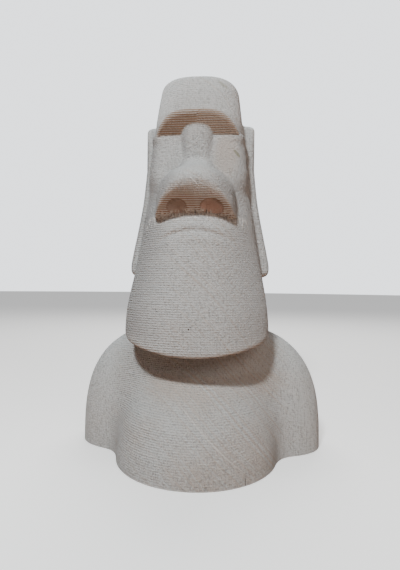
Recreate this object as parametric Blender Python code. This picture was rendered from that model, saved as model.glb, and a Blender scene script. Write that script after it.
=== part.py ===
"""A moai bust carved in one piece from a block of pale wood.

It has a long head with an overhanging brow, a broad nose, slab ears and a jutting jaw, on a
round chest between two shoulders, and it is cut off flat below. It faces -Y and stands on
z = 0, with its footprint centred on the origin. Lengths are in metres. Heights along the
figure are shares of HEIGHT, so that the carving keeps its proportions when the bust grows.

The blank is a sheet rolled round an upright axis. Every point of it is then moved in or out
along its own ray from the axis, to the surface of the carved form.
"""

import math

import bmesh
import bpy
import numpy as np

MM = 0.001

# The block that the bust is carved from
HEIGHT = 240 * MM
SHOULDER_WIDTH = 168 * MM
DEPTH = 119 * MM

# Chest, shoulders and neck
CHEST_RADIUS = 52 * MM
CHEST_TOP = 74 * MM
ARM_THICKNESS = 72 * MM
SHOULDER_RISE = 84 * MM
NECK_WIDTH = 72 * MM
NECK_FRONT = -14 * MM
NECK_BACK = 40 * MM
ARM_ROUNDNESS = 2.8
SHOULDER_ROUNDNESS = 3.0
NECK_ROUNDNESS = 2.4

# Head
JAW_WIDTH = 91 * MM
JAW_TURN = -16 * MM
JAW_RISE = 18 * MM
JAW_RISE_ANGLE = 120
JAW_UNDERSIDE_SLOPE = -0.25
CHIN_REACH = 46 * MM
BROW_WIDTH = 57 * MM
BROW_REACH = 34.8 * MM
BROW_ROUNDNESS = 3.2
EYE_ROUNDNESS = 6
CROWN_ROUNDNESS = 2.7
EYE_PLANE_REACH = 23.5 * MM
HEAD_BACK = 42 * MM
BACK_ROUNDNESS = 2.8

# Ears, nose and mouth
EAR_WIDTH_APART = 72.5 * MM
EAR_LOBE_FLARE = 10.3 * MM
EAR_THICKNESS = 21 * MM
EAR_Y = 6.5 * MM
NOSE_WIDTH = 52 * MM
NOSE_BRIDGE_WIDTH = 22 * MM
NOSE_DROOP = 3.4 * MM
NOSE_REACH = 51.8 * MM
NOSTRIL_SPACING = 20.5 * MM
NOSTRIL_WIDTH = 11.6 * MM
NOSTRIL_DIAMETER = 12.6 * MM
NOSTRIL_REACH = 40.2 * MM
NOSE_ROUNDNESS = 2.6
NOSE_BASE_REACH = 35 * MM
MOUTH_WIDTH = 40 * MM
MOUTH_DROOP = 5 * MM
MOUTH_GROOVE_DEPTH = 0.8 * MM
MOUTH_GROOVE_WIDTH = 3 * MM
LIP_STANDOUT = 0.5 * MM
LIP_HEIGHT = 5 * MM

# Levels, as shares of HEIGHT
CHIN_LEVEL = 0.280
EAR_LOBE_LEVEL = 0.486
MOUTH_LEVEL = 0.598
NOSE_BASE_LEVEL = 0.643
NOSTRIL_LEVEL = 0.648
NOSE_TIP_LEVEL = 0.706
EYE_LEVEL = 0.8495
BROW_LEVEL = 0.8945
EAR_TOP_LEVEL = 0.905

# Rounded edges and fillets where one mass runs into another
ARM_FILLET = 11 * MM
NECK_FILLET = 16 * MM
JAW_EDGE = 6 * MM
BROW_EDGE = 1.5 * MM
CROWN_EDGE = 4.5 * MM
EAR_EDGE = 4 * MM
EAR_FILLET = 2 * MM
NOSE_EDGE = 2.2 * MM
NOSE_FILLET = 1.8 * MM
HEAD_FILLET = 4 * MM
NOSTRIL_EDGE = 2 * MM

# The upright axis that the rays start from, and how far out and how finely they are searched
AXIS_Y = 8 * MM
LONGEST_RAY = 0.8 * max(SHOULDER_WIDTH, DEPTH)
RAY_STEPS = 160
HALVINGS = 22

# Where the ears begin, as an angle round the axis from straight ahead, how far from the axis the
# lips lie, and how much more the nose's edge droops than its base
EAR_ANGLE = math.radians(75)
AXIS_TO_LIPS = 43 * MM
NOSE_ARCH = 3.2

# Columns of the blank from straight ahead to straight behind: (end angle in degrees, columns)
COLUMN_COUNTS = ((24, 12), (36, 4), (60, 5), (78, 4), (108, 7), (180, 7))

# Rings of the blank from the base to the crown: (end level, rings)
RING_COUNTS = (
    (CHIN_LEVEL - 0.045, 6),
    (CHIN_LEVEL + 0.03, 8),
    (EAR_LOBE_LEVEL - 0.012, 5),
    (EAR_LOBE_LEVEL + 0.02, 3),
    (MOUTH_LEVEL - 0.02, 3),
    (NOSE_BASE_LEVEL, 7),
    (NOSE_TIP_LEVEL, 9),
    (NOSE_TIP_LEVEL + 0.06, 5),
    (EYE_LEVEL - 0.003, 4),
    (EYE_LEVEL + 0.003, 2),
    (BROW_LEVEL - 0.003, 3),
    (BROW_LEVEL + 0.003, 2),
    (EAR_TOP_LEVEL + 0.0015, 1),
    (EAR_TOP_LEVEL + 0.016, 2),
    (0.985, 2),
    (1.0, 3),
)

WOOD_COLOUR = (0.44, 0.42, 0.385, 1.0)
WOOD_ROUGHNESS = 0.78


def profile(*stops):
    """A smooth curve over height through (level, value) stops, with no overshoot between them."""
    levels = np.array([stop[0] for stop in stops]) * HEIGHT
    values = np.array([stop[1] for stop in stops])
    steps = np.diff(levels)
    slopes = np.diff(values) / steps
    tangents = np.zeros(len(stops))
    before, after = slopes[:-1], slopes[1:]
    same_way = before * after > 0
    tangents[1:-1][same_way] = (2 * before * after)[same_way] / (before + after)[same_way]
    tangents[0], tangents[-1] = slopes[0], slopes[-1]

    def value_at(z):
        z = np.clip(z, levels[0], levels[-1])
        i = np.clip(np.searchsorted(levels, z) - 1, 0, len(steps) - 1)
        t = (z - levels[i]) / steps[i]
        from_start = (1 + 2 * t) * (1 - t) ** 2 * values[i] + t * (1 - t) ** 2 * tangents[i] * steps[i]
        from_end = t**2 * (3 - 2 * t) * values[i + 1] + t**2 * (t - 1) * tangents[i + 1] * steps[i]
        return from_start + from_end

    return value_at


# Each mass below is a field: a function of x, y and z that is negative inside the mass and
# says roughly how far a point lies outside it.


def joined(first, second, fillet):
    """Two masses as one, with a hollow fillet where they meet."""
    share = np.clip(0.5 + 0.5 * (second - first) / fillet, 0, 1)
    return second + (first - second) * share - fillet * share * (1 - share)


def trimmed(mass, limit, edge):
    """The mass with what lies outside the limit taken away, and the new edge rounded."""
    return -joined(-mass, -limit, edge)


def outline(x, y, half_width, front, back, roundness, turn=AXIS_Y):
    """A closed outline: an ellipse at roundness 2, boxier above it, that turns to the front at turn."""
    ahead, behind = (turn - y) / (turn - front), (y - AXIS_Y) / (back - AXIS_Y)
    across, along = np.abs(x) / half_width, np.maximum(np.maximum(ahead, behind), 0)
    return ((across**roundness + along**roundness) ** (1 / roundness) - 1) * half_width


def underside(z, edge, slope, mass):
    """What lies below an overhang, whose underside falls by the slope from its edge inwards."""
    return edge - slope * np.maximum(-mass, 0) - z


def ahead_of_slant(y, z, low, high):
    """How far a point lies ahead of a plane that slants forwards through two (reach, level) edges."""
    slope = (high[0] - low[0]) / (HEIGHT * (high[1] - low[1]))
    return (-low[0] - slope * (z - low[1] * HEIGHT) - y) / math.hypot(1, slope)


def chest(x, y, z):
    """A round mass in front of the shoulders, which leans back as it rises to the throat."""
    radius = CHEST_RADIUS * profile((0, 1.0), (0.1, 0.98), (0.2, 0.87), (0.28, 0.75), (0.4, 0.64))(z)
    lean = profile((0, 1), (0.04, 0.97), (0.1, 0.86), (0.16, 0.66), (0.22, 0.43), (0.3, 0.26))(z)
    middle = radius - lean * DEPTH / 2
    mass = np.maximum(np.hypot(x, y - middle) - radius, y - ARM_THICKNESS / 2)
    return trimmed(mass, z - CHEST_TOP, ARM_FILLET)


def shoulders(x, y, z):
    """One rounded slab across the back, whose ends are the upper arms."""
    middle = 0.5 * (DEPTH - ARM_THICKNESS)
    across, along = np.abs(x) / (SHOULDER_WIDTH / 2), np.abs(y - middle) / (ARM_THICKNESS / 2)
    plan = (across**ARM_ROUNDNESS + along**ARM_ROUNDNESS) ** (1 / ARM_ROUNDNESS)
    rise = (z / SHOULDER_RISE) ** SHOULDER_ROUNDNESS
    return ((plan**SHOULDER_ROUNDNESS + rise) ** (1 / SHOULDER_ROUNDNESS) - 1) * ARM_THICKNESS / 2


def neck(x, y, z):
    """The column that carries the head, up to the middle of it."""
    column = outline(x, y, NECK_WIDTH / 2, NECK_FRONT, NECK_BACK, NECK_ROUNDNESS)
    return np.maximum(column, z - HEIGHT * EAR_LOBE_LEVEL)


def head_half_width(z):
    """Half the head's width: broad at the jaw, narrower at the brow and the crown."""
    jaw, brow = JAW_WIDTH / 2, BROW_WIDTH / 2
    return profile(
        (CHIN_LEVEL, 0.985 * jaw), (0.34, jaw), (0.43, 0.96 * jaw), (0.48, 0.92 * jaw), (0.57, 0.85 * jaw),
        (0.64, 0.80 * jaw), (0.71, 1.17 * brow), (0.80, 1.09 * brow), (BROW_LEVEL, brow), (1.0, 0.90 * brow),
    )(z)


def head_back(z):
    return HEAD_BACK * profile((0.3, 1.1), (0.5, 1.05), (0.8, 1.0), (0.92, 0.95), (1.0, 0.86))(z)


def face(x, y, z):
    """The head without its brow: a jutting chin that flattens upwards into the plane of the eyes."""
    front = -profile(
        (CHIN_LEVEL, CHIN_REACH), (0.36, 0.995 * CHIN_REACH), (0.48, 0.91 * CHIN_REACH),
        (MOUTH_LEVEL, 0.80 * CHIN_REACH), (NOSE_BASE_LEVEL, 0.72 * CHIN_REACH),
        (0.68, 1.22 * EYE_PLANE_REACH), (0.75, 1.09 * EYE_PLANE_REACH), (EYE_LEVEL, EYE_PLANE_REACH),
        (BROW_LEVEL, 0.96 * EYE_PLANE_REACH), (1.0, 0.5 * EYE_PLANE_REACH),
    )(z)
    turn = profile((0.40, JAW_TURN), (0.62, 0.4 * AXIS_Y), (0.70, AXIS_Y))(z)
    roundness = profile((0.40, 2.0), (0.54, 2.15), (0.63, 2.5), (0.70, 3.2), (0.76, EYE_ROUNDNESS))(z)
    roundness = np.where(y < AXIS_Y, roundness, BACK_ROUNDNESS)
    mass = outline(x, y, head_half_width(z), front - lips(x, z), head_back(z), roundness, turn)
    edge = HEIGHT * CHIN_LEVEL + jaw_rise(np.arctan2(x, AXIS_Y - y))
    return trimmed(mass, underside(z, edge, JAW_UNDERSIDE_SLOPE, mass), JAW_EDGE)


def forehead(x, y, z):
    """The overhanging brow, whose underside slants forwards from the eyes, and what stands above it."""
    front = -BROW_REACH * profile((BROW_LEVEL, 1.0), (0.94, 0.95), (1.0, 0.806))(z)
    roundness = profile((BROW_LEVEL, BROW_ROUNDNESS), (1.0, CROWN_ROUNDNESS))(z)
    roundness = np.where(y < AXIS_Y, roundness, BACK_ROUNDNESS)
    mass = outline(x, y, head_half_width(z), front, head_back(z), roundness)
    beyond = ahead_of_slant(y, z, (EYE_PLANE_REACH, EYE_LEVEL), (BROW_REACH, BROW_LEVEL))
    return np.maximum(trimmed(mass, beyond, BROW_EDGE), EYE_LEVEL * HEIGHT - z)


def mouth_droop(x):
    """How far the mouth line has sunk at a distance x from the middle of the face."""
    return MOUTH_DROOP * np.clip(np.abs(x) / (MOUTH_WIDTH / 2), 0, 1.3) ** 2


def nose_droop(x):
    """How far the nose has sunk at a distance x from its ridge."""
    return NOSE_DROOP * np.clip(np.abs(x) / (NOSE_WIDTH / 2), 0, 1.2) ** 2


def lips(x, z):
    """How far the lips stand out of the face: a pad over the drooping mouth line and one below."""
    above_mouth = z - HEIGHT * MOUTH_LEVEL + mouth_droop(x)
    fade = np.clip(1.3 - np.abs(x) / (MOUTH_WIDTH / 2), 0, 0.5) / 0.5
    pad = np.exp(-(((above_mouth - LIP_HEIGHT / 2) / (LIP_HEIGHT / 2)) ** 4))
    lower_pad = np.exp(-(((above_mouth + LIP_HEIGHT) / (LIP_HEIGHT / 2)) ** 2))
    groove = np.exp(-((above_mouth / (MOUTH_GROOVE_WIDTH / 2)) ** 2))
    return fade * (LIP_STANDOUT * (pad + 0.6 * lower_pad) - MOUTH_GROOVE_DEPTH * groove)


def jaw_rise(angle):
    """How far the jaw's lower edge has climbed on its way round from the chin to the nape."""
    share = np.clip(np.abs(angle) / math.radians(JAW_RISE_ANGLE), 0, 1)
    return JAW_RISE * share**2 * (3 - 2 * share)


def head(x, y, z):
    return trimmed(np.minimum(face(x, y, z), forehead(x, y, z)), z - HEIGHT, CROWN_EDGE)


def ears(x, y, z):
    """A long slab on each side, level with the brow above and flaring out to the lobe below."""
    flare = EAR_LOBE_FLARE * profile(
        (EAR_LOBE_LEVEL, 0.95), (0.51, 1.0), (0.545, 0.88), (0.6, 0.62), (0.65, 0.39), (0.70, 0.2), (0.78, 0),
    )(z)
    outside = np.abs(x) - EAR_WIDTH_APART / 2 - flare
    front_and_back = np.abs(y - EAR_Y) - EAR_THICKNESS / 2
    middle, half = (EAR_TOP_LEVEL + EAR_LOBE_LEVEL) / 2, (EAR_TOP_LEVEL - EAR_LOBE_LEVEL) / 2
    ends = np.abs(z - middle * HEIGHT) - half * HEIGHT
    return trimmed(trimmed(outside, front_and_back, EAR_EDGE), ends, EAR_EDGE)


def nose(x, y, z):
    """A round bridge that spreads into wings, with a sloping underside that droops like the mouth."""
    bridge, wing = NOSE_BRIDGE_WIDTH / 2, NOSE_WIDTH / 2
    z = z + nose_droop(x)
    half_width = profile(
        (NOSE_BASE_LEVEL, 0.98 * wing), (0.670, 0.97 * wing), (0.696, 0.945 * wing), (0.722, 0.88 * wing),
        (0.746, 0.71 * wing), (0.766, 1.08 * bridge), (0.79, 1.0 * bridge), (EYE_LEVEL, 0.98 * bridge),
    )(z)
    reach = profile(
        (NOSE_TIP_LEVEL, 1.0), (0.724, 0.975), (0.742, 0.88), (0.762, 0.68), (0.777, 0.56), (0.79, 0.515),
        (EYE_LEVEL, 0.545), (BROW_LEVEL, 0.565),
    )(z)
    root = -0.75 * EYE_PLANE_REACH
    ahead = np.maximum(root - y, 0) / (root + NOSE_REACH * reach)
    plan = ((np.abs(x) / half_width) ** NOSE_ROUNDNESS + ahead**NOSE_ROUNDNESS) ** (1 / NOSE_ROUNDNESS)
    mass = np.maximum((plan - 1) * half_width, y - AXIS_Y)
    beyond = ahead_of_slant(y, z, (NOSE_BASE_REACH, NOSE_BASE_LEVEL), (NOSE_REACH, NOSE_TIP_LEVEL))
    mass = trimmed(mass, beyond, NOSE_EDGE)
    mass = trimmed(mass, z - HEIGHT * (BROW_LEVEL + 0.01), NOSE_FILLET)
    return trimmed(mass, HEIGHT * NOSE_BASE_LEVEL - z, NOSE_FILLET)


def nostrils(x, y, z):
    """A dished hollow on each side of the nose's underside."""
    across = (np.abs(x) - NOSTRIL_SPACING / 2) * NOSTRIL_DIAMETER / NOSTRIL_WIDTH
    away = np.sqrt(across**2 + (y + NOSTRIL_REACH) ** 2 + (z - NOSTRIL_LEVEL * HEIGHT) ** 2)
    return away - NOSTRIL_DIAMETER / 2


def bust(x, y, z):
    trunk = joined(chest(x, y, z), shoulders(x, y, z), ARM_FILLET)
    trunk = joined(trunk, neck(x, y, z), NECK_FILLET)
    features = joined(joined(head(x, y, z), ears(x, y, z), EAR_FILLET), nose(x, y, z), NOSE_FILLET)
    return trimmed(joined(trunk, features, HEAD_FILLET), -nostrils(x, y, z), NOSTRIL_EDGE)


def ray_lengths(angles, heights):
    """How far each ray from the axis runs to the carved surface. Angle 0 looks along -Y."""
    sideways, forward = np.sin(angles), -np.cos(angles)

    def outside(length):
        return bust(length * sideways, AXIS_Y + length * forward, heights) > 0

    far = np.full_like(angles, LONGEST_RAY)
    still_outside = np.ones_like(angles, bool)
    for length in np.linspace(LONGEST_RAY, 0, RAY_STEPS):
        still_outside &= outside(length)
        far = np.where(still_outside, length, far)
    near = far - LONGEST_RAY / (RAY_STEPS - 1)
    for _ in range(HALVINGS):
        middle = (near + far) / 2
        is_out = outside(middle)
        near, far = np.where(is_out, near, middle), np.where(is_out, middle, far)
    return (near + far) / 2


def spread(start, spans):
    """Positions from start through every span, evenly spaced within each."""
    places = [start]
    for end, count in spans:
        places += list(np.linspace(places[-1], end, count + 1)[1:])
    return np.array(places)


def column_angles():
    half = np.radians(spread(0, COLUMN_COUNTS))
    return np.concatenate([-half[:0:-1], half])


def brow_fall(angles):
    """How much lower the brow's edge is on a ray than it is straight ahead."""
    across, along = np.abs(np.sin(angles)) / (BROW_WIDTH / 2), np.cos(angles) / (AXIS_Y + BROW_REACH)
    along = np.maximum(along, 0)
    ray = (across**BROW_ROUNDNESS + along**BROW_ROUNDNESS) ** (-1 / BROW_ROUNDNESS)
    back = AXIS_Y + BROW_REACH - ray * np.cos(angles)
    share = np.clip(back / (BROW_REACH - EYE_PLANE_REACH), 0, 0.75)
    fade = np.clip((EAR_ANGLE - np.abs(angles)) / (EAR_ANGLE / 3), 0, 1)
    return share * fade * HEIGHT * (BROW_LEVEL - EYE_LEVEL)


def ring_heights(levels, angles):
    """The rings are level but where they follow the jaw, the mouth, the nose and the brow."""
    z = HEIGHT * levels
    by_jaw = profile((0.06, 0), (CHIN_LEVEL - 0.03, 1), (CHIN_LEVEL + 0.03, 1), (EAR_LOBE_LEVEL, 0))(z)
    by_mouth = profile((EAR_LOBE_LEVEL, 0), (MOUTH_LEVEL, 1), (NOSE_BASE_LEVEL, 0))(z)
    by_nose = profile((MOUTH_LEVEL, 0), (NOSE_BASE_LEVEL, 1), (NOSE_TIP_LEVEL, NOSE_ARCH), (0.80, 0))(z)
    turned = np.abs(angles)
    x = AXIS_TO_LIPS * np.tan(np.clip(turned, 0, 1.2))
    z = z + by_jaw * jaw_rise(turned) - by_mouth * mouth_droop(x) - by_nose * nose_droop(x)
    by_brow = profile((EYE_LEVEL + 0.003, 0), (BROW_LEVEL - 0.003, 1), (BROW_LEVEL + 0.003, 1), (0.985, 0))(z)
    return z - by_brow * brow_fall(angles)


def carved_blank():
    """The blank's rolled sheet with every point moved to the carved surface, closed at both ends."""
    angles, levels = column_angles(), spread(0, RING_COUNTS)
    columns, rings = len(angles) - 1, len(levels) - 1
    sheet = bmesh.new()
    bmesh.ops.create_grid(sheet, x_segments=columns, y_segments=rings, size=0.5)
    column = [round((vertex.co.x + 0.5) * columns) for vertex in sheet.verts]
    ring = [round((vertex.co.y + 0.5) * rings) for vertex in sheet.verts]
    heights = ring_heights(levels[ring], angles[column])
    lengths = ray_lengths(angles[column], heights)
    for vertex, angle, height, length in zip(sheet.verts, angles[column], heights, lengths):
        vertex.co = (length * math.sin(angle), AXIS_Y - length * math.cos(angle), height)
    bmesh.ops.remove_doubles(sheet, verts=sheet.verts, dist=1e-6)
    bmesh.ops.holes_fill(sheet, edges=sheet.edges)
    bmesh.ops.recalc_face_normals(sheet, faces=sheet.faces)
    return sheet


def wood():
    material = bpy.data.materials.new("pale_wood")
    material.use_nodes = True
    shader = material.node_tree.nodes["Principled BSDF"]
    shader.inputs["Base Color"].default_value = WOOD_COLOUR
    shader.inputs["Roughness"].default_value = WOOD_ROUGHNESS
    shader.inputs["Metallic"].default_value = 0.0
    return material


def main():
    for old in list(bpy.data.objects):
        bpy.data.objects.remove(old)
    collection = bpy.data.collections.new("moai_bust")
    bpy.context.scene.collection.children.link(collection)
    mesh = bpy.data.meshes.new("moai_bust")
    blank = carved_blank()
    blank.to_mesh(mesh)
    blank.free()
    mesh.shade_smooth()
    mesh.set_sharp_from_angle(angle=math.radians(60))
    mesh.materials.append(wood())
    collection.objects.link(bpy.data.objects.new("moai_bust", mesh))


main()
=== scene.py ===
# %% [markdown]
# # A wooden moai bust
#
# The bust is one block of pale, unpainted wood that a carving machine has cut. It has no paint and
# no polish, so what makes it look real is small: the rows that the cutter left, the growth rings
# that run slantwise through the block, fuzzy fibres along the edges and a few marks.
#
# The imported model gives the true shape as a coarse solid. This lesson carves the same shape again
# with many more points, cuts the rows into it, and gives it its wood.

import math

import bmesh
import bpy
import numpy as np
from mathutils import Matrix, Vector


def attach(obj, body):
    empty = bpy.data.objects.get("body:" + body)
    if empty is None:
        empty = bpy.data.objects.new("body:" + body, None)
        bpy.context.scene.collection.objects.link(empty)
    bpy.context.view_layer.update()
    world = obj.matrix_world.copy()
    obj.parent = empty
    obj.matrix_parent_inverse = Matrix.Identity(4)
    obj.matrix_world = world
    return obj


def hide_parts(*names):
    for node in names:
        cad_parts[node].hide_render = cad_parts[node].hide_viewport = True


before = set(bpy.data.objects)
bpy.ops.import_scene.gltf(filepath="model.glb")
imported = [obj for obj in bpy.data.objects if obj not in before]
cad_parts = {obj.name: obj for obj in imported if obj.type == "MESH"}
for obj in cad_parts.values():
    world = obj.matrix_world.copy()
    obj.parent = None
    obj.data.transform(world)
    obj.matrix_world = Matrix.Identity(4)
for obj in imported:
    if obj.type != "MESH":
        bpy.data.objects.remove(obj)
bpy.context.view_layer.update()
MM = 0.001

# %% [markdown]
# ## The camera
#
# The picture was taken from close by, at the height of the nose's lower edge, from a little to the
# bust's own left. A close camera makes the chest look larger than the head, so the distance
# matters more than the angle. The camera stays level, and a small roll follows the picture.

# %% The camera
CAMERA_DISTANCE = 281 * MM
CAMERA_HEIGHT = 111 * MM
CAMERA_TURN = math.radians(5)
CAMERA_ROLL = math.radians(0.6)
PICTURE_HEIGHT = 570
PIXELS_PER_RADIAN = 415
SENSOR = 36


def add_camera():
    lens = bpy.data.cameras.new("camera")
    lens.sensor_width = SENSOR
    lens.lens = SENSOR * PIXELS_PER_RADIAN / PICTURE_HEIGHT
    lens.shift_x = 1 / PICTURE_HEIGHT
    lens.clip_start = 1 * MM
    camera = bpy.data.objects.new("camera", lens)
    eye = Vector((math.sin(CAMERA_TURN), -math.cos(CAMERA_TURN), 0)) * CAMERA_DISTANCE
    eye.z = CAMERA_HEIGHT
    turn = Matrix.Rotation(CAMERA_TURN, 4, "Z")
    upright = Matrix.Rotation(math.radians(90), 4, "X")
    roll = Matrix.Rotation(CAMERA_ROLL, 4, "Z")
    camera.matrix_world = Matrix.Translation(eye) @ turn @ upright @ roll
    bpy.context.scene.collection.objects.link(camera)
    bpy.context.scene.camera = camera
    return camera


camera = add_camera()
print("The camera stands at", [round(value, 3) for value in camera.location])

# %% [markdown]
# ## Writing materials as arithmetic
#
# A material is a net of nodes. Wiring them by hand hides what they compute, so one small class
# wraps a socket and lets us write sums and products. Another one makes every other kind of node.

# %% Arithmetic on sockets


class Signal:
    """A socket that carries a number over the surface. Arithmetic on it adds Math nodes."""

    def __init__(self, finish, socket):
        self.finish = finish
        self.socket = socket

    def maths(self, operation, *values):
        return self.finish.node("Math", {"operation": operation}, dict(enumerate(values)))

    def __add__(self, other):
        return self.maths("ADD", self, other)

    def __sub__(self, other):
        return self.maths("SUBTRACT", self, other)

    def __mul__(self, other):
        return self.maths("MULTIPLY", self, other)

    def __truediv__(self, other):
        return self.maths("DIVIDE", self, other)

    def __pow__(self, other):
        return self.maths("POWER", self, other)

    def __abs__(self):
        return self.maths("ABSOLUTE", self)

    def __rsub__(self, other):
        return self.maths("SUBTRACT", other, self)

    __radd__ = __add__
    __rmul__ = __mul__

    def sine(self):
        return self.maths("SINE", self)

    def between(self, low, high):
        """0 up to low, 1 from high on, and a smooth rise between. It falls if low is the higher."""
        settings = {"interpolation_type": "SMOOTHSTEP"}
        inputs = {"Value": self, "From Min": low, "From Max": high}
        return self.finish.node("MapRange", settings, inputs)


class Finish:
    """A material that is written node by node."""

    def __init__(self, name):
        self.material = bpy.data.materials.new(name)
        self.material.use_nodes = True
        self.tree = self.material.node_tree
        self.shader = self.tree.nodes["Principled BSDF"]

    def node(self, kind, settings, inputs, output=0):
        """Adds a node of a kind, with its settings first and then what feeds its sockets."""
        made = self.tree.nodes.new("ShaderNode" + kind)
        for name, value in settings.items():
            setattr(made, name, value)
        for name, value in inputs.items():
            self.feed(made.inputs[name], value)
        return Signal(self, made.outputs[output])

    def feed(self, socket, value):
        if isinstance(value, Signal):
            self.tree.links.new(value.socket, socket)
        else:
            socket.default_value = value

    def set(self, **inputs):
        """Feeds the shader's own sockets. An underscore stands for a space in a socket's name."""
        for name, value in inputs.items():
            self.feed(self.shader.inputs[name.replace("_", " ")], value)

    def mixed(self, share, first, second):
        """The first colour where share is 0, the second where it is 1."""
        settings = {"data_type": "RGBA"}
        return self.node("Mix", settings, {0: share, 6: first, 7: second}, output=2)

    def noise(self, place, scale, detail=2.0, roughness=0.5):
        """Cloudy noise from 0 to 1, with scale in lumps a metre."""
        inputs = {"Vector": place, "Scale": scale, "Detail": detail, "Roughness": roughness}
        return self.node("TexNoise", {}, inputs, output="Fac")

    def painted(self, name):
        """The value that the mesh's points carry under a name."""
        return self.node("Attribute", {"attribute_name": name}, {}, output="Fac")

    def stretched(self, place, scale):
        """The place with each axis scaled, so that a noise on it stretches."""
        return self.node("Mapping", {"vector_type": "POINT"}, {"Vector": place, "Scale": scale})


print("Signals and finishes are ready")

# %% [markdown]
# ## Floor and light
#
# The bust stands on a plain pale floor. The key is a small cool lamp in front, a little to the left
# and 42 degrees up: it just grazes the undersides of the brow and the nose, and the chin throws a
# crisp shadow. A broad, warmer lamp fills in from the right, and a third one lights the back.
# The floor looks pale to the camera but throws a warm brown light back, which makes the undersides
# as warm as they are in the picture.

# %% The floor and the light
FLOOR_RADIUS = 6.0
FLOOR_COLOUR = (0.80, 0.79, 0.77, 1.0)
FLOOR_BOUNCE = (0.50, 0.31, 0.22, 1.0)
BLACK, WHITE = (0.0, 0.0, 0.0, 1.0), (1.0, 1.0, 1.0, 1.0)
COOL, WARM_WHITE, NEUTRAL = (0.93, 1.0, 1.04), (1.0, 0.88, 0.80), (1.0, 1.0, 1.0)
# Each lamp: azimuth and rise in degrees, distance, size, power, colour
LAMPS = {
    "key": (-12, 41.5, 0.6, (0.06, 0.045), 4.8, COOL),
    "fill": (28, 28, 1.0, (0.7, 0.4), 3.0, WARM_WHITE),
    "back": (180, 48, 1.1, (1.0, 0.6), 12.0, NEUTRAL),
}
GLOW_COLOUR = (0.93, 0.96, 1.0, 1.0)
GLOW_STRENGTH = 0.12
WALL_STRENGTH = 2.2
FLOOR_SHEEN = 0.55


def add_floor():
    shape = bmesh.new()
    bmesh.ops.create_circle(shape, cap_ends=True, segments=96, radius=FLOOR_RADIUS)
    mesh = bpy.data.meshes.new("floor")
    shape.to_mesh(mesh)
    shape.free()
    paper = Finish("pale_floor")
    seen = paper.node("LightPath", {}, {}, output="Is Camera Ray")
    paper.set(Base_Color=paper.mixed(seen, FLOOR_BOUNCE, FLOOR_COLOUR), Roughness=0.9)
    paper.set(Emission_Color=paper.mixed(seen, BLACK, WHITE), Emission_Strength=FLOOR_SHEEN)
    mesh.materials.append(paper.material)
    floor = bpy.data.objects.new("floor", mesh)
    bpy.context.scene.collection.objects.link(floor)
    return floor


def add_lamp(name, azimuth, rise, distance, size, power, colour):
    """A soft rectangular lamp that looks at the bust. Azimuth 0 is straight in front of it."""
    light = bpy.data.lights.new(name, "AREA")
    light.shape = "RECTANGLE"
    light.size, light.size_y = size
    light.energy = power
    light.color = colour
    lamp = bpy.data.objects.new(name, light)
    turn, rise = math.radians(azimuth), math.radians(rise)
    aim = Vector((math.sin(turn) * math.cos(rise), -math.cos(turn) * math.cos(rise), math.sin(rise)))
    lamp.location = Vector((0, 0, CAMERA_HEIGHT)) + aim * distance
    lamp.rotation_euler = aim.to_track_quat("Z", "Y").to_euler()
    bpy.context.scene.collection.objects.link(lamp)


def set_glow():
    world = bpy.data.worlds.new("glow")
    world.use_nodes = True
    nodes, links = world.node_tree.nodes, world.node_tree.links
    seen = nodes.new("ShaderNodeLightPath")
    strength = nodes.new("ShaderNodeMapRange")
    strength.inputs["To Min"].default_value = GLOW_STRENGTH
    strength.inputs["To Max"].default_value = WALL_STRENGTH
    links.new(seen.outputs["Is Camera Ray"], strength.inputs["Value"])
    links.new(strength.outputs["Result"], nodes["Background"].inputs["Strength"])
    nodes["Background"].inputs["Color"].default_value = GLOW_COLOUR
    bpy.context.scene.world = world


add_floor()
for name, values in LAMPS.items():
    add_lamp(name, *values)
set_glow()
print("The bust stands on a floor under", len(LAMPS), "lamps")

# %% [markdown]
# ## Masses as fields
#
# A carver sees a figure as a few masses that run into each other. Each mass is written here as a
# field: a function of x, y and z that is negative inside the mass and says roughly how far outside
# a point lies. Two fields are joined or trimmed by a soft minimum, which also gives the hollow
# fillet or the rounded edge between them. These are the same masses as in the solid.

# %% The block's sizes
HEIGHT = 240 * MM
SHOULDER_WIDTH = 168 * MM
DEPTH = 119 * MM
AXIS_Y = 8 * MM


def profile(*stops):
    """A smooth curve over height through (level, value) stops, with no overshoot between them."""
    levels = np.array([stop[0] for stop in stops]) * HEIGHT
    values = np.array([stop[1] for stop in stops])
    steps = np.diff(levels)
    slopes = np.diff(values) / steps
    tangents = np.zeros(len(stops))
    before, after = slopes[:-1], slopes[1:]
    same_way = before * after > 0
    tangents[1:-1][same_way] = (2 * before * after)[same_way] / (before + after)[same_way]
    tangents[0], tangents[-1] = slopes[0], slopes[-1]

    def value_at(z):
        z = np.clip(z, levels[0], levels[-1])
        i = np.clip(np.searchsorted(levels, z) - 1, 0, len(steps) - 1)
        t = (z - levels[i]) / steps[i]
        from_start = (1 + 2 * t) * (1 - t) ** 2 * values[i] + t * (1 - t) ** 2 * tangents[i] * steps[i]
        from_end = t**2 * (3 - 2 * t) * values[i + 1] + t**2 * (t - 1) * tangents[i + 1] * steps[i]
        return from_start + from_end

    return value_at


def joined(first, second, fillet):
    """Two masses as one, with a hollow fillet where they meet."""
    share = np.clip(0.5 + 0.5 * (second - first) / fillet, 0, 1)
    return second + (first - second) * share - fillet * share * (1 - share)


def trimmed(mass, limit, edge):
    """The mass with what lies outside the limit taken away, and the new edge rounded."""
    return -joined(-mass, -limit, edge)


def outline(x, y, half_width, front, back, roundness, turn=AXIS_Y):
    """A closed outline: an ellipse at roundness 2, boxier above it, that turns to the front at turn."""
    ahead, behind = (turn - y) / (turn - front), (y - AXIS_Y) / (back - AXIS_Y)
    across, along = np.abs(x) / half_width, np.maximum(np.maximum(ahead, behind), 0)
    return ((across**roundness + along**roundness) ** (1 / roundness) - 1) * half_width


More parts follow.
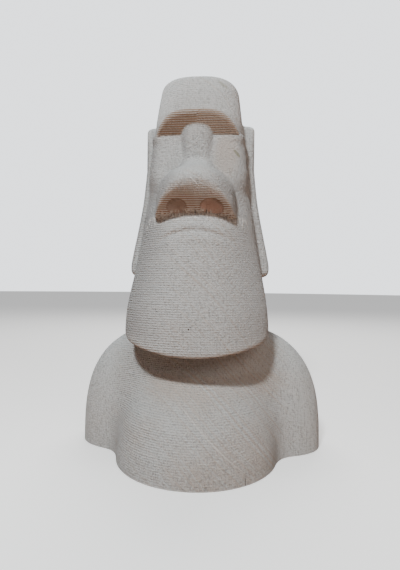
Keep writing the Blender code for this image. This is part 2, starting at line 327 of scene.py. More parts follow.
def underside(z, edge, slope, mass):
    """What lies below an overhang, whose underside falls by the slope from its edge inwards."""
    return edge - slope * np.maximum(-mass, 0) - z


def ahead_of_slant(y, z, low, high):
    """How far a point lies ahead of a plane that slants forwards through two (reach, level) edges."""
    slope = (high[0] - low[0]) / (HEIGHT * (high[1] - low[1]))
    return (-low[0] - slope * (z - low[1] * HEIGHT) - y) / math.hypot(1, slope)


print("Fields can be joined and trimmed")

# %% [markdown]
# ## Chest, shoulders and neck
#
# The trunk is a round chest in front of one rounded slab, whose ends are the upper arms. The chest
# leans back as it rises to the throat, where a thick neck carries the head.

# %% The trunk
CHEST_RADIUS = 52 * MM
CHEST_TOP = 74 * MM
ARM_THICKNESS = 72 * MM
SHOULDER_RISE = 84 * MM
NECK_WIDTH = 72 * MM
NECK_FRONT, NECK_BACK = -14 * MM, 40 * MM
ARM_ROUNDNESS, SHOULDER_ROUNDNESS, NECK_ROUNDNESS = 2.8, 3.0, 2.4
ARM_FILLET, NECK_FILLET = 11 * MM, 16 * MM
CHIN_LEVEL, EAR_LOBE_LEVEL = 0.280, 0.486


def chest(x, y, z):
    radius = CHEST_RADIUS * profile((0, 1.0), (0.1, 0.98), (0.2, 0.87), (0.28, 0.75), (0.4, 0.64))(z)
    lean = profile((0, 1), (0.04, 0.97), (0.1, 0.86), (0.16, 0.66), (0.22, 0.43), (0.3, 0.26))(z)
    middle = radius - lean * DEPTH / 2
    mass = np.maximum(np.hypot(x, y - middle) - radius, y - ARM_THICKNESS / 2)
    return trimmed(mass, z - CHEST_TOP, ARM_FILLET)


def shoulders(x, y, z):
    middle = 0.5 * (DEPTH - ARM_THICKNESS)
    across, along = np.abs(x) / (SHOULDER_WIDTH / 2), np.abs(y - middle) / (ARM_THICKNESS / 2)
    plan = (across**ARM_ROUNDNESS + along**ARM_ROUNDNESS) ** (1 / ARM_ROUNDNESS)
    rise = (z / SHOULDER_RISE) ** SHOULDER_ROUNDNESS
    return ((plan**SHOULDER_ROUNDNESS + rise) ** (1 / SHOULDER_ROUNDNESS) - 1) * ARM_THICKNESS / 2


def neck(x, y, z):
    column = outline(x, y, NECK_WIDTH / 2, NECK_FRONT, NECK_BACK, NECK_ROUNDNESS)
    return np.maximum(column, z - HEIGHT * EAR_LOBE_LEVEL)


def trunk(x, y, z):
    mass = joined(chest(x, y, z), shoulders(x, y, z), ARM_FILLET)
    return joined(mass, neck(x, y, z), NECK_FILLET)


print("The trunk is", round(SHOULDER_WIDTH / MM), "mm wide")

# %% [markdown]
# ## Head, brow and jaw
#
# The head is two masses, one on the other. The face juts at the chin and flattens upwards into the
# plane of the eyes. The forehead stands out over it, and its underside slopes down to the eyes.

# %% The head
JAW_WIDTH, BROW_WIDTH = 91 * MM, 57 * MM
JAW_TURN = -16 * MM
JAW_RISE, JAW_RISE_ANGLE = 18 * MM, 120
JAW_UNDERSIDE_SLOPE = -0.25
CHIN_REACH, BROW_REACH, EYE_PLANE_REACH = 46 * MM, 34.8 * MM, 23.5 * MM
EYE_ROUNDNESS, BROW_ROUNDNESS, CROWN_ROUNDNESS, BACK_ROUNDNESS = 6, 3.2, 2.7, 2.8
HEAD_BACK = 42 * MM
JAW_EDGE, BROW_EDGE, CROWN_EDGE = 6 * MM, 1.2 * MM, 4.5 * MM
MOUTH_LEVEL, NOSE_BASE_LEVEL, NOSTRIL_LEVEL, NOSE_TIP_LEVEL = 0.598, 0.643, 0.636, 0.706
EYE_LEVEL, BROW_LEVEL, EAR_TOP_LEVEL = 0.8495, 0.8945, 0.905


def head_half_width(z):
    jaw, brow = JAW_WIDTH / 2, BROW_WIDTH / 2
    return profile(
        (CHIN_LEVEL, 0.985 * jaw), (0.34, jaw), (0.43, 0.96 * jaw), (0.48, 0.92 * jaw), (0.57, 0.85 * jaw),
        (0.64, 0.80 * jaw), (0.71, 1.17 * brow), (0.80, 1.09 * brow), (BROW_LEVEL, brow), (1.0, 0.90 * brow),
    )(z)


def head_back(z):
    return HEAD_BACK * profile((0.3, 1.1), (0.5, 1.05), (0.8, 1.0), (0.92, 0.95), (1.0, 0.86))(z)


def jaw_rise(angle):
    """How far the jaw's lower edge has climbed on its way round from the chin to the nape."""
    share = np.clip(np.abs(angle) / math.radians(JAW_RISE_ANGLE), 0, 1)
    return JAW_RISE * share**2 * (3 - 2 * share)


def face(x, y, z):
    front = -profile(
        (CHIN_LEVEL, CHIN_REACH), (0.36, 0.995 * CHIN_REACH), (0.48, 0.91 * CHIN_REACH),
        (MOUTH_LEVEL, 0.80 * CHIN_REACH), (NOSE_BASE_LEVEL, 0.72 * CHIN_REACH),
        (0.68, 1.22 * EYE_PLANE_REACH), (0.75, 1.09 * EYE_PLANE_REACH), (EYE_LEVEL, EYE_PLANE_REACH),
        (BROW_LEVEL, 0.96 * EYE_PLANE_REACH), (1.0, 0.5 * EYE_PLANE_REACH),
    )(z)
    turn = profile((0.40, JAW_TURN), (0.62, 0.4 * AXIS_Y), (0.70, AXIS_Y))(z)
    roundness = profile(
        (0.40, 2.0), (0.54, 2.15), (0.63, 2.5), (0.70, 3.2), (0.76, EYE_ROUNDNESS), (0.83, EYE_ROUNDNESS),
        (EYE_LEVEL, 1.6 * EYE_ROUNDNESS), (EYE_LEVEL + 0.01, 0.6 * EYE_ROUNDNESS),
    )(z)
    roundness = np.where(y < AXIS_Y, roundness, BACK_ROUNDNESS)
    mass = outline(x, y, head_half_width(z), front - lips(x, z), head_back(z), roundness, turn)
    edge = HEIGHT * CHIN_LEVEL + jaw_rise(np.arctan2(x, AXIS_Y - y))
    return trimmed(mass, underside(z, edge, JAW_UNDERSIDE_SLOPE, mass), JAW_EDGE)


def ahead_of_brow(y, z):
    """How far a point lies ahead of the brow's underside."""
    return ahead_of_slant(y, z, (EYE_PLANE_REACH, EYE_LEVEL), (BROW_REACH, BROW_LEVEL))


def forehead(x, y, z):
    """Its underside is a plane that slants forwards from the eyes to the brow's edge."""
    front = -BROW_REACH * profile((BROW_LEVEL, 1.0), (0.94, 0.95), (1.0, 0.806))(z)
    roundness = profile((BROW_LEVEL, BROW_ROUNDNESS), (1.0, CROWN_ROUNDNESS))(z)
    roundness = np.where(y < AXIS_Y, roundness, BACK_ROUNDNESS)
    mass = outline(x, y, head_half_width(z), front, head_back(z), roundness)
    return np.maximum(trimmed(mass, ahead_of_brow(y, z), BROW_EDGE), EYE_LEVEL * HEIGHT - z)


def head(x, y, z):
    return trimmed(np.minimum(face(x, y, z), forehead(x, y, z)), z - HEIGHT, CROWN_EDGE)


print("The head has a face and a forehead")

# %% [markdown]
# ## Ears, nose and mouth
#
# The ears are long slabs that flare out to the lobes. The nose is a round bridge that spreads into
# wings, and its sloping underside has a dished nostril on each side, the bust's own left one a
# little larger. The mouth is only a drooping line between two faint lips, with a second, shorter
# line over its right part. Along the nose's lower edge the cutter tore the fibres, so it is frayed.

# %% Ears, nose and mouth
EAR_WIDTH_APART, EAR_LOBE_FLARE = 72.5 * MM, 10.3 * MM
EAR_THICKNESS, EAR_Y = 21 * MM, 6.5 * MM
EAR_EDGE, EAR_FILLET, HEAD_FILLET = 4 * MM, 2 * MM, 4 * MM
NOSE_WIDTH, NOSE_BRIDGE_WIDTH, NOSE_REACH = 52 * MM, 22 * MM, 51.8 * MM
NOSE_BASE_REACH, NOSE_ROUNDNESS, NOSE_EDGE, NOSE_FILLET = 35 * MM, 2.6, 1.8 * MM, 1.0 * MM
NOSTRIL_SPACING, NOSTRIL_REACH = 20.0 * MM, 41.4 * MM
NOSTRIL_WIDTH, NOSTRIL_DIAMETER, NOSTRIL_EDGE = 12.8 * MM, 15.6 * MM, 0.7 * MM
LARGER_NOSTRIL = 1.18
NOSE_DROOP = 3.4 * MM
MOUTH_WIDTH, MOUTH_DROOP = 40 * MM, 5 * MM
MOUTH_GROOVE_DEPTH, MOUTH_GROOVE_WIDTH = 0.8 * MM, 3 * MM
LIP_STANDOUT, LIP_HEIGHT = 0.5 * MM, 5 * MM
SECOND_LINE_RISE, SECOND_LINE_DEPTH, SECOND_LINE_WIDTH = 5.4 * MM, 0.35 * MM, 1.0 * MM
SECOND_LINE_START, SECOND_LINE_END, SECOND_LINE_DROOP = -3 * MM, 17 * MM, 2.1
NOSE_BULGE, FRAY = 1.0 * MM, 1.3 * MM
THIN_FIBRE, THICK_FIBRE, TUFT = 0.21 * MM, 0.34 * MM, 2.3 * MM


def mouth_droop(x):
    """How far the mouth line has sunk at a distance x from the middle of the face."""
    return MOUTH_DROOP * np.clip(np.abs(x) / (MOUTH_WIDTH / 2), 0, 1.3) ** 2


def nose_droop(x):
    """How far the nose has sunk at a distance x from its ridge."""
    return NOSE_DROOP * np.clip(np.abs(x) / (NOSE_WIDTH / 2), 0, 1.2) ** 2


def fray(x):
    """Torn fibres along an edge, as a jagged line."""
    return FRAY * (np.sin(x / THIN_FIBRE) + np.sin(x / THICK_FIBRE + 1)) * np.cos(x / TUFT) ** 2


def lips(x, z):
    above_mouth = z - HEIGHT * MOUTH_LEVEL + mouth_droop(x)
    fade = np.clip(1.3 - np.abs(x) / (MOUTH_WIDTH / 2), 0, 0.5) / 0.5
    pad = np.exp(-(((above_mouth - LIP_HEIGHT / 2) / (LIP_HEIGHT / 2)) ** 4))
    lower_pad = np.exp(-(((above_mouth + LIP_HEIGHT) / (LIP_HEIGHT / 2)) ** 2))
    groove = np.exp(-((above_mouth / (MOUTH_GROOVE_WIDTH / 2)) ** 2))
    above_second = z - HEIGHT * MOUTH_LEVEL - SECOND_LINE_RISE + SECOND_LINE_DROOP * mouth_droop(x)
    started = np.clip((x - SECOND_LINE_START) / (6 * MM), 0, 1)
    not_ended = np.clip((SECOND_LINE_END - x) / (3 * MM), 0, 1)
    second = SECOND_LINE_DEPTH * np.exp(-((above_second / (SECOND_LINE_WIDTH / 2)) ** 2))
    first = LIP_STANDOUT * (pad + 0.6 * lower_pad) - MOUTH_GROOVE_DEPTH * groove
    return fade * first - started * not_ended * second


def ears(x, y, z):
    flare = EAR_LOBE_FLARE * profile(
        (EAR_LOBE_LEVEL, 0.95), (0.51, 1.0), (0.545, 0.88), (0.6, 0.62), (0.65, 0.39), (0.70, 0.2), (0.78, 0),
    )(z)
    outside = np.abs(x) - EAR_WIDTH_APART / 2 - flare
    front_and_back = np.abs(y - EAR_Y) - EAR_THICKNESS / 2
    middle, half = (EAR_TOP_LEVEL + EAR_LOBE_LEVEL) / 2, (EAR_TOP_LEVEL - EAR_LOBE_LEVEL) / 2
    ends = np.abs(z - middle * HEIGHT) - half * HEIGHT
    return trimmed(trimmed(outside, front_and_back, EAR_EDGE), ends, EAR_EDGE)


def ahead_of_nose(x, y, z):
    """How far a point lies ahead of the nose's underside, which bulges a little."""
    z = z + nose_droop(x)
    ahead = ahead_of_slant(y, z, (NOSE_BASE_REACH, NOSE_BASE_LEVEL), (NOSE_REACH, NOSE_TIP_LEVEL))
    up = (z / HEIGHT - NOSE_BASE_LEVEL) / (NOSE_TIP_LEVEL - NOSE_BASE_LEVEL)
    return ahead - NOSE_BULGE * np.sin(math.pi * np.clip(up, 0, 1))


def nose(x, y, z):
    bridge, wing = NOSE_BRIDGE_WIDTH / 2, NOSE_WIDTH / 2
    beyond = ahead_of_nose(x, y, z)
    z = z + nose_droop(x)
    half_width = profile(
        (NOSE_BASE_LEVEL, 0.98 * wing), (0.670, 0.97 * wing), (0.696, 0.945 * wing), (0.722, 0.88 * wing),
        (0.746, 0.71 * wing), (0.766, 1.08 * bridge), (0.79, 1.0 * bridge), (EYE_LEVEL, 0.98 * bridge),
    )(z)
    reach = profile(
        (NOSE_TIP_LEVEL, 1.0), (0.724, 0.975), (0.742, 0.88), (0.762, 0.68), (0.777, 0.56), (0.79, 0.515),
        (EYE_LEVEL, 0.545), (BROW_LEVEL, 0.565),
    )(z)
    root = -0.75 * EYE_PLANE_REACH
    ahead = np.maximum(root - y, 0) / (root + NOSE_REACH * reach)
    plan = ((np.abs(x) / half_width) ** NOSE_ROUNDNESS + ahead**NOSE_ROUNDNESS) ** (1 / NOSE_ROUNDNESS)
    mass = np.maximum((plan - 1) * half_width, y - AXIS_Y)
    mass = trimmed(mass, beyond, NOSE_EDGE)
    mass = trimmed(mass, z - HEIGHT * (BROW_LEVEL + 0.01), NOSE_FILLET)
    return trimmed(mass, HEIGHT * NOSE_BASE_LEVEL + fray(x) - z, NOSE_FILLET)


def nostrils(x, y, z):
    width = NOSTRIL_WIDTH * np.where(x > 0, LARGER_NOSTRIL, 1.0)
    across = (np.abs(x) - NOSTRIL_SPACING / 2) * NOSTRIL_DIAMETER / width
    away = np.sqrt(across**2 + (y + NOSTRIL_REACH) ** 2 + (z - NOSTRIL_LEVEL * HEIGHT) ** 2)
    return away - NOSTRIL_DIAMETER / 2


def bust(x, y, z):
    features = joined(joined(head(x, y, z), ears(x, y, z), EAR_FILLET), nose(x, y, z), NOSE_FILLET)
    return joined(trunk(x, y, z), features, HEAD_FILLET)


print("The nose reaches", round(NOSE_REACH / MM), "mm forwards")

# %% [markdown]
# ## The cutter's rows
#
# The machine cut the figure in level passes, one under the other. Under the brow and the nose each
# pass left a step that the eye can see, so those steps are cut into the shape: the heights that the
# fields are asked at are bent a little, pass by pass. Everywhere else the rows are so shallow that
# the material shades them, from the number of passes below a point. The cutter did one half of the
# face after the other, so the steps on the right lie about a third of a pass off those on the left.

# %% The steps
UPRIGHT_PITCH, SLANT_PITCH, CHEST_PITCH = 1.40 * MM, 1.03 * MM, 1.18 * MM
STEP_STRENGTH, FADE = 1.1, 0.008
STEP_ARCH = 4
AXIS_TO_LIPS, WIDEST_TURN = 43 * MM, 1.2
SEAM_SHIFT = 0.3
LIPS_END, EYES_END, BROW_START = NOSE_BASE_LEVEL - 0.02, EYE_LEVEL - 0.01, EYE_LEVEL - 0.002

pitch = profile(
    (0, UPRIGHT_PITCH), (0.1, CHEST_PITCH), (0.24, CHEST_PITCH), (CHIN_LEVEL, UPRIGHT_PITCH),
    (MOUTH_LEVEL, UPRIGHT_PITCH), (NOSE_BASE_LEVEL - 0.01, SLANT_PITCH), (NOSE_TIP_LEVEL, SLANT_PITCH),
    (0.74, UPRIGHT_PITCH), (EYE_LEVEL - 0.02, UPRIGHT_PITCH), (EYE_LEVEL - 0.004, SLANT_PITCH),
    (BROW_LEVEL, SLANT_PITCH), (0.93, UPRIGHT_PITCH), (1.0, UPRIGHT_PITCH),
)
fine_heights = np.linspace(0, HEIGHT, 4001)
fine_passes = np.cumsum(fine_heights[1] / pitch(fine_heights))


def passes(z):
    """How many passes the cutter makes between the base and a height."""
    return np.interp(z, fine_heights, fine_passes)


def across_lips(angles):
    """How far from the middle of the face the rays meet the plane of the lips."""
    return AXIS_TO_LIPS * np.tan(np.clip(angles, -WIDEST_TURN, WIDEST_TURN))


def stepped(z, angles):
    """The height at which a pass has cut, which stays behind the true height in steps."""
    arched = z + STEP_ARCH * nose_droop(across_lips(angles))
    above_lips = profile((LIPS_END, 0), (LIPS_END + FADE, 1))(z)
    below_tip = profile((NOSE_TIP_LEVEL, 1), (NOSE_TIP_LEVEL + FADE, 0))(arched)
    above_eyes = profile((EYES_END, 0), (BROW_START, 1))(z)
    below_brow = profile((BROW_LEVEL, 1), (BROW_LEVEL + FADE, 0))(z)
    strength = above_lips * below_tip + above_eyes * below_brow
    wave = np.sin(2 * np.pi * (passes(z) + SEAM_SHIFT * (angles > 0))) * pitch(z) / (2 * np.pi)
    return z - STEP_STRENGTH * strength * wave


print("The cutter makes", round(float(passes(HEIGHT))), "passes")

# %% [markdown]
# ## Rolling the blank
#
# The carved piece starts as a flat grid. It is rolled round an upright axis inside the figure, and
# every point moves along its own level ray until it meets the carved surface. The rings of the
# grid follow the jaw, the mouth and the nose, so that those edges stay clean, and they lie closest
# where the steps are.

# %% Columns and rings
COLUMN_SPANS = ((36, 46), (78, 32), (108, 15), (180, 35))
RING_SPANS = (
    (0.20, 40),
    (CHIN_LEVEL + 0.045, 46),
    (EAR_LOBE_LEVEL - 0.012, 32),
    (EAR_LOBE_LEVEL + 0.02, 11),
    (MOUTH_LEVEL - 0.02, 15),
    (NOSE_BASE_LEVEL, 34),
    (NOSE_TIP_LEVEL + 0.012, 76),
    (0.77, 13),
    (EYE_LEVEL - 0.004, 15),
    (BROW_LEVEL + 0.006, 56),
    (0.92, 9),
    (0.985, 14),
    (1.0, 8),
)


def spread(start, spans):
    """Positions from start through every span, evenly spaced within each."""
    places = [start]
    for end, count in spans:
        places += list(np.linspace(places[-1], end, count + 1)[1:])
    return np.array(places)


def column_angles():
    half = np.radians(spread(0, COLUMN_SPANS))
    return np.concatenate([-half[:0:-1], half])


def ring_heights(levels, angles):
    """The rings are level but where they follow the jaw, the mouth and the nose."""
    z = HEIGHT * levels
    by_jaw = profile((0.06, 0), (CHIN_LEVEL - 0.03, 1), (CHIN_LEVEL + 0.03, 1), (EAR_LOBE_LEVEL, 0))(z)
    by_mouth = profile((EAR_LOBE_LEVEL, 0), (MOUTH_LEVEL, 1), (NOSE_BASE_LEVEL, 0))(z)
    by_nose = profile((MOUTH_LEVEL, 0), (NOSE_BASE_LEVEL, 1), (NOSE_TIP_LEVEL, 1), (0.80, 0))(z)
    x = across_lips(angles)
    return z + by_jaw * jaw_rise(angles) - by_mouth * mouth_droop(x) - by_nose * nose_droop(x)


angles, levels = column_angles(), spread(0, RING_SPANS)
print("The blank has", len(angles) - 1, "columns and", len(levels) - 1, "rings")

# %% The rays
LONGEST_RAY = 0.8 * max(SHOULDER_WIDTH, DEPTH)
RAY_STEPS = 160
HALVINGS = 14
SAME_PLACE = 0.001 * MM


def ray_lengths(angles, heights):
    """How far each ray from the axis runs to the carved surface. Angle 0 looks along -Y."""
    sideways, forward = np.sin(angles), -np.cos(angles)
    cut_heights = stepped(heights, angles)

    def outside(length):
        x, y = length * sideways, AXIS_Y + length * forward
        return trimmed(bust(x, y, cut_heights), -nostrils(x, y, heights), NOSTRIL_EDGE) > 0

    far = np.full_like(angles, LONGEST_RAY)
    still_outside = np.ones_like(angles, bool)
    for length in np.linspace(LONGEST_RAY, 0, RAY_STEPS):
        still_outside &= outside(length)
        far = np.where(still_outside, length, far)
    near = far - LONGEST_RAY / (RAY_STEPS - 1)
    for _ in range(HALVINGS):
        middle = (near + far) / 2
        is_out = outside(middle)
        near, far = np.where(is_out, near, middle), np.where(is_out, middle, far)
    return (near + far) / 2


def carved_blank():
    """The rolled sheet with every point moved to the carved surface, closed at both ends."""
    columns, rings = len(angles) - 1, len(levels) - 1
    sheet = bmesh.new()
    bmesh.ops.create_grid(sheet, x_segments=columns, y_segments=rings, size=0.5)
    column = [round((vertex.co.x + 0.5) * columns) for vertex in sheet.verts]
    ring = [round((vertex.co.y + 0.5) * rings) for vertex in sheet.verts]
    heights = ring_heights(levels[ring], angles[column])
    lengths = ray_lengths(angles[column], heights)
    for vertex, angle, height, length in zip(sheet.verts, angles[column], heights, lengths):
        vertex.co = (length * math.sin(angle), AXIS_Y - length * math.cos(angle), height)
    bmesh.ops.remove_doubles(sheet, verts=sheet.verts, dist=SAME_PLACE)
    bmesh.ops.holes_fill(sheet, edges=sheet.edges)
    bmesh.ops.recalc_face_normals(sheet, faces=sheet.faces)
    return sheet


print("Each ray is searched in", RAY_STEPS, "steps and halved", HALVINGS, "times")

# %% The carving
SHARP_EDGE = math.radians(60)


def add_bust():
    mesh = bpy.data.meshes.new("carved_bust")
    sheet = carved_blank()
    sheet.to_mesh(mesh)
    sheet.free()
    mesh.shade_smooth()
    mesh.set_sharp_from_angle(angle=SHARP_EDGE)
    carving = bpy.data.objects.new("carved_bust", mesh)
    bpy.context.scene.collection.objects.link(carving)
    return carving


carving = add_bust()
triangles = sum(len(face.vertices) - 2 for face in carving.data.polygons)
print("The carving has", triangles, "triangles")

# %% [markdown]
# ## What each point knows
#
# A material can't ask whether a point lies in a nostril or under the brow, or which pass cut it.
# The fields know, so the answers are worked out here and painted on the points.

# %% Painted values
EDGE_FADE = 1.0 * MM


def facing_down(places, normals):
    """1 under the brow and the nose, up to 0.5 under the jaw, else 0: where fibres are cut across and shade
    is painted.
    """
    x, y, z = places.T
    nose_base = HEIGHT * NOSE_BASE_LEVEL + fray(x) - nose_droop(x)
    under_nose = np.clip(1.5 - np.abs(ahead_of_nose(x, y, z)) / EDGE_FADE, 0, 1) * (z > nose_base)
    under_brow = np.clip(1.5 - np.abs(ahead_of_brow(y, z)) / EDGE_FADE, 0, 1) * (z > HEIGHT * EYE_LEVEL)
    under_brow *= np.clip(nose(x, y, z) / EDGE_FADE, 0, 1)
    under_jaw = np.clip(-normals[:, 2], 0, 0.5) * (z < HEIGHT * MOUTH_LEVEL)
    return np.maximum(np.maximum(under_nose, under_brow), under_jaw)


def in_nostrils(places):
    """1 in the dishes of the nostrils, falling to 0 just outside their rims."""
    x, y, z = places.T
    inside = np.clip(1.3 - nostrils(x, y, z) / NOSTRIL_EDGE, 0, 1)
    return inside * (z > HEIGHT * NOSE_BASE_LEVEL - nose_droop(x))


def paint(mesh, **looks):
    """Gives every point a value under each name."""
    for name, values in looks.items():
        layer = mesh.attributes.new(name, "FLOAT", "POINT")
        layer.data.foreach_set("value", values)


places = np.array([vertex.co for vertex in carving.data.vertices])
normals = np.array([vertex.normal for vertex in carving.data.vertices])
paint(
    carving.data,
    passes=passes(places[:, 2]),
    underside=facing_down(places, normals),
    sideways=np.abs(normals[:, 0]),
    nostril=in_nostrils(places),
)
print("Points carry", [layer.name for layer in carving.data.attributes if layer.domain == "POINT"])

# %% [markdown]
# ## The grain
#
# The raw wood is almost white. Its growth rings are nearly planes that run slantwise through the
# block, so they come out as faint diagonal lines on the face and the chest. Fibres run upright, and
# the cutter leaves fuzz, so the surface scatters light like felt.
#
# One class gathers all that the looks are made of. A zone of the bust is a few spans along its
# axes. A span is absent at its first millimetre and full at its second.

# %% The grain
RING_NORMAL = (0.64, 0.43, 0.64)
RINGS_A_METRE = 640
RING_DRIFT, DRIFTS_A_METRE = 22 * MM, 9.0
CLOUDS_A_METRE = 38.0
FIBRES_A_METRE, FUZZ_A_METRE, TORN_A_METRE = (1500, 1500, 90), (850, 850, 650), (850, 850, 120)
RINGS_SHOW = (("x", -30, 25),)
TORN_EDGE = (("sunk", 157.5, 155), ("sunk", 149, 152), ("y", -20, -23))


class Grain:
    """The wood at a point: where it lies, how it was cut and how it grew. Noises are about 0."""

    def __init__(self, wood):
        self.wood = wood
        self.place = wood.node("TexCoord", {}, {}, output="Object")
        parts = wood.tree.nodes.new("ShaderNodeSeparateXYZ")
        wood.feed(parts.inputs[0], self.place)
        self.x, self.y, self.z = (Signal(wood, socket) for socket in parts.outputs)
        self.apart = abs(self.x)
        self.sunk = self.z + NOSE_DROOP * (self.x / (NOSE_WIDTH / 2)) ** 2
        self.below, self.aside = wood.painted("underside"), wood.painted("sideways")
        self.hollow = wood.painted("nostril")
        self.rows = (wood.painted("passes") * (2 * math.pi)).sine()
        self.fibres = self.streaks(FIBRES_A_METRE)
        self.fuzz = self.streaks(FUZZ_A_METRE, detail=3.0, roughness=0.7)
        self.clouds = wood.noise(self.place, CLOUDS_A_METRE, detail=3.0) - 0.5
        self.torn = (self.streaks(TORN_A_METRE) + 0.5).between(0.47, 0.58) * self.zone(TORN_EDGE)
        self.rings = self.growth_rings()

    def zone(self, spans):
        """1 where all the spans are full, 0 where one is absent. Spans are in millimetres."""
        return math.prod(getattr(self, axis).between(low * MM, high * MM) for axis, low, high in spans)

    def streaks(self, scale, detail=2.0, roughness=0.5):
        stretched = self.wood.stretched(self.place, scale)
        return self.wood.noise(stretched, 1.0, detail, roughness) - 0.5

    def growth_rings(self):
        drift = (self.wood.noise(self.place, DRIFTS_A_METRE) - 0.5) * RING_DRIFT
        across = self.x * RING_NORMAL[0] + self.y * RING_NORMAL[1] + self.z * RING_NORMAL[2] + drift
        settings, inputs = {"noise_dimensions": "1D"}, {"W": across, "Scale": RINGS_A_METRE, "Detail": 2.0}
        rings = self.wood.node("TexNoise", settings, inputs, output="Fac") - 0.5
        return rings * (0.5 + 0.5 * self.zone(RINGS_SHOW))


print("The growth rings are about", round(1000 / RINGS_A_METRE, 1), "mm apart")

# %% [markdown]
# ## Marks
#
# A pin hole in the chin, a smudge on the forehead, a streak by the eye, a crack at the base, a
# scratch on the nose and a slanting line on the chest are what make this block this block.

# %% Marks
# Small marks on the front: across, up, half width and half height in millimetres, lean, softness
PIN_HOLE = (-1.7, 85.5, 0.45, 0.45, 0.0, 0.4)
FOREHEAD_SMUDGE = (15.9, 233.0, 3.6, 1.1, -0.6, 0.9)
EYE_STREAK = (24.6, 192.5, 0.9, 3.0, 0.7, 0.5)
BASE_CRACK = (31.2, 2.0, 0.16, 2.2, 0.0, 0.4)
EYE_WARMTH = (18.0, 191.0, 7.0, 14.0, 0.0, 0.95)
NOSE_SCRATCH = (1.2, 168.6, 0.35, 3.8, 0.80, 0.4)
CHEST_LINE = (11.0, 24.0, 0.40, 25.0, 0.85, 0.5)
FRONT = (("y", -10, -14),)


def mark(grain, across, up, half_width, half_height, lean, softness):
    """1 on a leaning oval on the bust's front, falling to 0 round it."""
    right, rise = grain.x - across * MM, grain.z - up * MM
    along = rise * math.cos(lean) - right * math.sin(lean)
    beside = right * math.cos(lean) + rise * math.sin(lean)
    away = (beside / (half_width * MM)) ** 2 + (along / (half_height * MM)) ** 2
    return away.between(1 + softness, 1 - softness) * grain.zone(FRONT)


print("A crack", 2 * BASE_CRACK[3], "mm tall is the largest of the dark marks")

# %% [markdown]
# ## The colours
#
# Bare wood goes from pale to tan in clouds and rings, with darker pores. Painted warm bounce light
# makes the chest warmer low down and under the chin, painted light brightens the arms and the ears,
# and painted shade greys the sides of the head. Undersides show torn end grain, which is much
# browner and striped by the rows, with painted shade over it and painted highlights on the ridges.
# The nostrils are reddish, with painted shade on their rims and upper parts.

# %% Tones and zones
PALE, TAN = (0.450, 0.448, 0.438, 1.0), (0.415, 0.360, 0.315, 1.0)
PORES, SIDE_SHADE = (0.285, 0.280, 0.268, 1.0), (0.298, 0.292, 0.284, 1.0)
LIT_TONE, LIGHT_TONE = (0.570, 0.580, 0.570, 1.0), (0.620, 0.600, 0.570, 1.0)
END_GRAIN_AND_SHADE, HOLE_SHADE = (0.280, 0.200, 0.143, 1.0), (0.060, 0.045, 0.035, 1.0)
SMUDGE_TONE = (0.260, 0.250, 0.190, 1.0)
NOSTRIL_TONE, RED_TONE = (0.400, 0.315, 0.270, 1.0), (0.700, 0.420, 0.340, 1.0)
RIM_SHADE = (0.200, 0.150, 0.115, 1.0)

LOW_CHEST_BOUNCE = (("z", 60, 0), ("x", -45, 0), ("x", 55, 35))
THROAT_BOUNCE = (("z", 34, 46), ("z", 57, 52), ("x", -50, -20))
HEAD_TOP = (("z", 150, 215),)
ARMS, RIGHT_ARM = (("apart", 48, 64),), (("x", -10, 10),)
EARS = (("y", -8, -5), ("y", 4, 0), ("apart", 30, 36), ("z", 100, 110))
HEAD, RIGHT_HALF = (("z", 72, 84), ("z", 214, 204)), (("x", -5, 5),)
NOSE_TOP, NOSE_LOW, BROW = (("z", 157, 167),), (("z", 168, 158),), (("z", 180, 200),)
NOSTRIL_TOP = (("z", 155.5, 160),)

print("The undersides are", round(PALE[0] / END_GRAIN_AND_SHADE[0], 1), "times as dark as the bare wood")

# %% The colours


def bare_colour(wood, grain):
    # Painted warm bounce light: the tone is tanner low on the chest and on the throat below the chin's shadow
    tone = 0.20 + 0.40 * grain.zone(LOW_CHEST_BOUNCE) + 0.45 * grain.zone(THROAT_BOUNCE) - 0.2 * grain.zone(HEAD_TOP)
    tone = tone + 1.2 * grain.clouds - 2.0 * grain.rings - 0.8 * grain.fibres
    colour = wood.mixed(tone.between(0, 1), PALE, TAN)
    # Painted light on the arms and the ears
    arm_light = grain.zone(ARMS) * (0.55 + 0.2 * grain.zone(RIGHT_ARM))
    colour = wood.mixed(arm_light + 0.6 * grain.zone(EARS), colour, LIT_TONE)
    pores = 0.22 - 1.4 * grain.fibres - 2.4 * grain.fuzz - 0.10 * grain.rows
    colour = wood.mixed(pores.between(0, 1), colour, PORES)
    # Painted shade on the sides of the head, where the surface turns aside, weaker on the right half
    shaded_sides = grain.aside.between(0.1, 0.75) * grain.zone(HEAD) * (1 - 0.35 * grain.zone(RIGHT_HALF))
    colour = wood.mixed(shaded_sides, colour, SIDE_SHADE)
    return wood.mixed(mark(grain, *EYE_WARMTH) * 0.7, colour, TAN)


def underside_colour(wood, grain, colour):
    in_nose_low = grain.zone(NOSE_LOW)
    # The share of brown end grain and painted shade: more under the brow, less at the top of the nose's
    # underside
    brown = 0.42 - 0.45 * grain.zone(NOSE_TOP) + 0.80 * grain.zone(BROW)
    brown = brown + 0.8 * grain.clouds + 0.6 * grain.fuzz - (0.45 + 0.4 * in_nose_low) * grain.rows
    colour = wood.mixed((grain.below * brown).between(0, 1), colour, END_GRAIN_AND_SHADE)
    # Painted highlights on the ridges of the rows under the brow and the nose
    ridge_highlights = grain.below * grain.rows.between(-0.1, 0.7) * (0.45 + 0.25 * in_nose_low)
    return wood.mixed(ridge_highlights, colour, LIGHT_TONE)


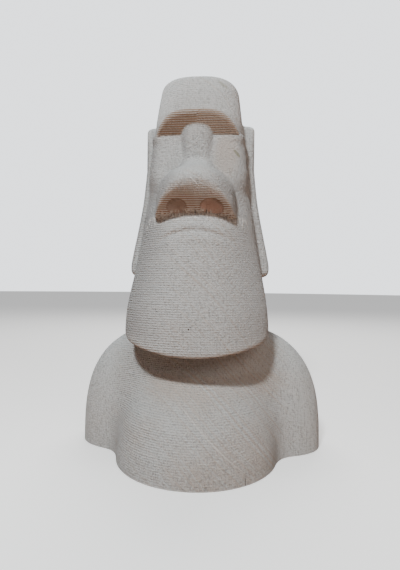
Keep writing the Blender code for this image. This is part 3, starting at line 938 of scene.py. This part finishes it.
def nostril_colour(wood, grain, colour):
    colour = wood.mixed(grain.hollow * (0.85 + 0.6 * grain.fuzz), colour, NOSTRIL_TONE)
    colour = wood.mixed(grain.hollow * 0.3 * grain.zone(RIGHT_HALF), colour, RED_TONE)
    # Painted shade on the nostrils' rims and in their upper parts
    shaded_rims = 2.4 * grain.hollow * (1 - grain.hollow) + 0.55 * grain.hollow * grain.zone(NOSTRIL_TOP)
    return wood.mixed(shaded_rims.between(0, 1.2), colour, RIM_SHADE)


def marked_colour(wood, grain, colour, light, dark):
    colour = wood.mixed(mark(grain, *FOREHEAD_SMUDGE) * 0.6, colour, SMUDGE_TONE)
    colour = wood.mixed(mark(grain, *EYE_STREAK), colour, SMUDGE_TONE)
    # Painted shade in the pin hole and the crack
    colour = wood.mixed(dark.between(0, 1), colour, HOLE_SHADE)
    return wood.mixed(light * 0.8, colour, LIGHT_TONE)


print("Four steps make the colour")

# %% [markdown]
# ## The fine relief
#
# What is too small for the points is a bump: the rows, then fuzz, fibres, rings and the marks. The
# rows are deeper on the left, and fade on the arms, at the base and round the eyes. The forehead is
# the smoothest part.

# %% The relief and the finish
RELIEF = 0.45 * MM
BELOW_BROW, TRUNK, HEAD_ROWS = (("z", 212, 198),), (("z", 80, 60),), (("z", 70, 80),)
LEFT_ROWS, NOT_ARMS, ABOVE_BASE = (("x", 12, -25),), (("apart", 62, 46),), (("z", 4, 28),)
EYE_PLANES = (("z", 163, 171), ("z", 204, 202))


def relief(grain, light, dark):
    """The height of the surface, in shares of RELIEF."""
    roughened = 0.45 + 0.55 * grain.zone(BELOW_BROW) + 0.3 * grain.zone(TRUNK)
    row_depth = (0.24 - 0.06 * grain.zone(HEAD_ROWS)) * (0.8 + grain.zone(LEFT_ROWS))
    row_depth = row_depth * grain.zone(NOT_ARMS) * (0.35 + 0.65 * grain.zone(ABOVE_BASE))
    row_depth = row_depth * (1 - 0.8 * grain.zone(EYE_PLANES))
    cut = row_depth * grain.rows * (1 - grain.hollow)
    height = (cut + 4.2 * grain.fuzz + 1.2 * grain.fibres) * roughened
    return height + 0.5 * grain.rings + 0.6 * light - dark


def wood_finish():
    wood = Finish("pale_wood")
    grain = Grain(wood)
    light = grain.torn + mark(grain, *NOSE_SCRATCH) + 0.5 * mark(grain, *CHEST_LINE)
    dark = mark(grain, *PIN_HOLE) + mark(grain, *BASE_CRACK)
    colour = underside_colour(wood, grain, bare_colour(wood, grain))
    colour = marked_colour(wood, grain, nostril_colour(wood, grain, colour), light, dark)
    height = relief(grain, light, dark)
    bump = wood.node("Bump", {}, {"Height": height, "Distance": RELIEF, "Strength": 1.0})
    wood.set(Base_Color=colour, Roughness=0.8 + 0.15 * grain.fuzz, Normal=bump)
    wood.set(Specular_IOR_Level=0.25, Diffuse_Roughness=1.0)
    return wood.material


carving.data.materials.append(wood_finish())
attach(carving, "root")
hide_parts("moai_bust")
print("The wood is on the carving")
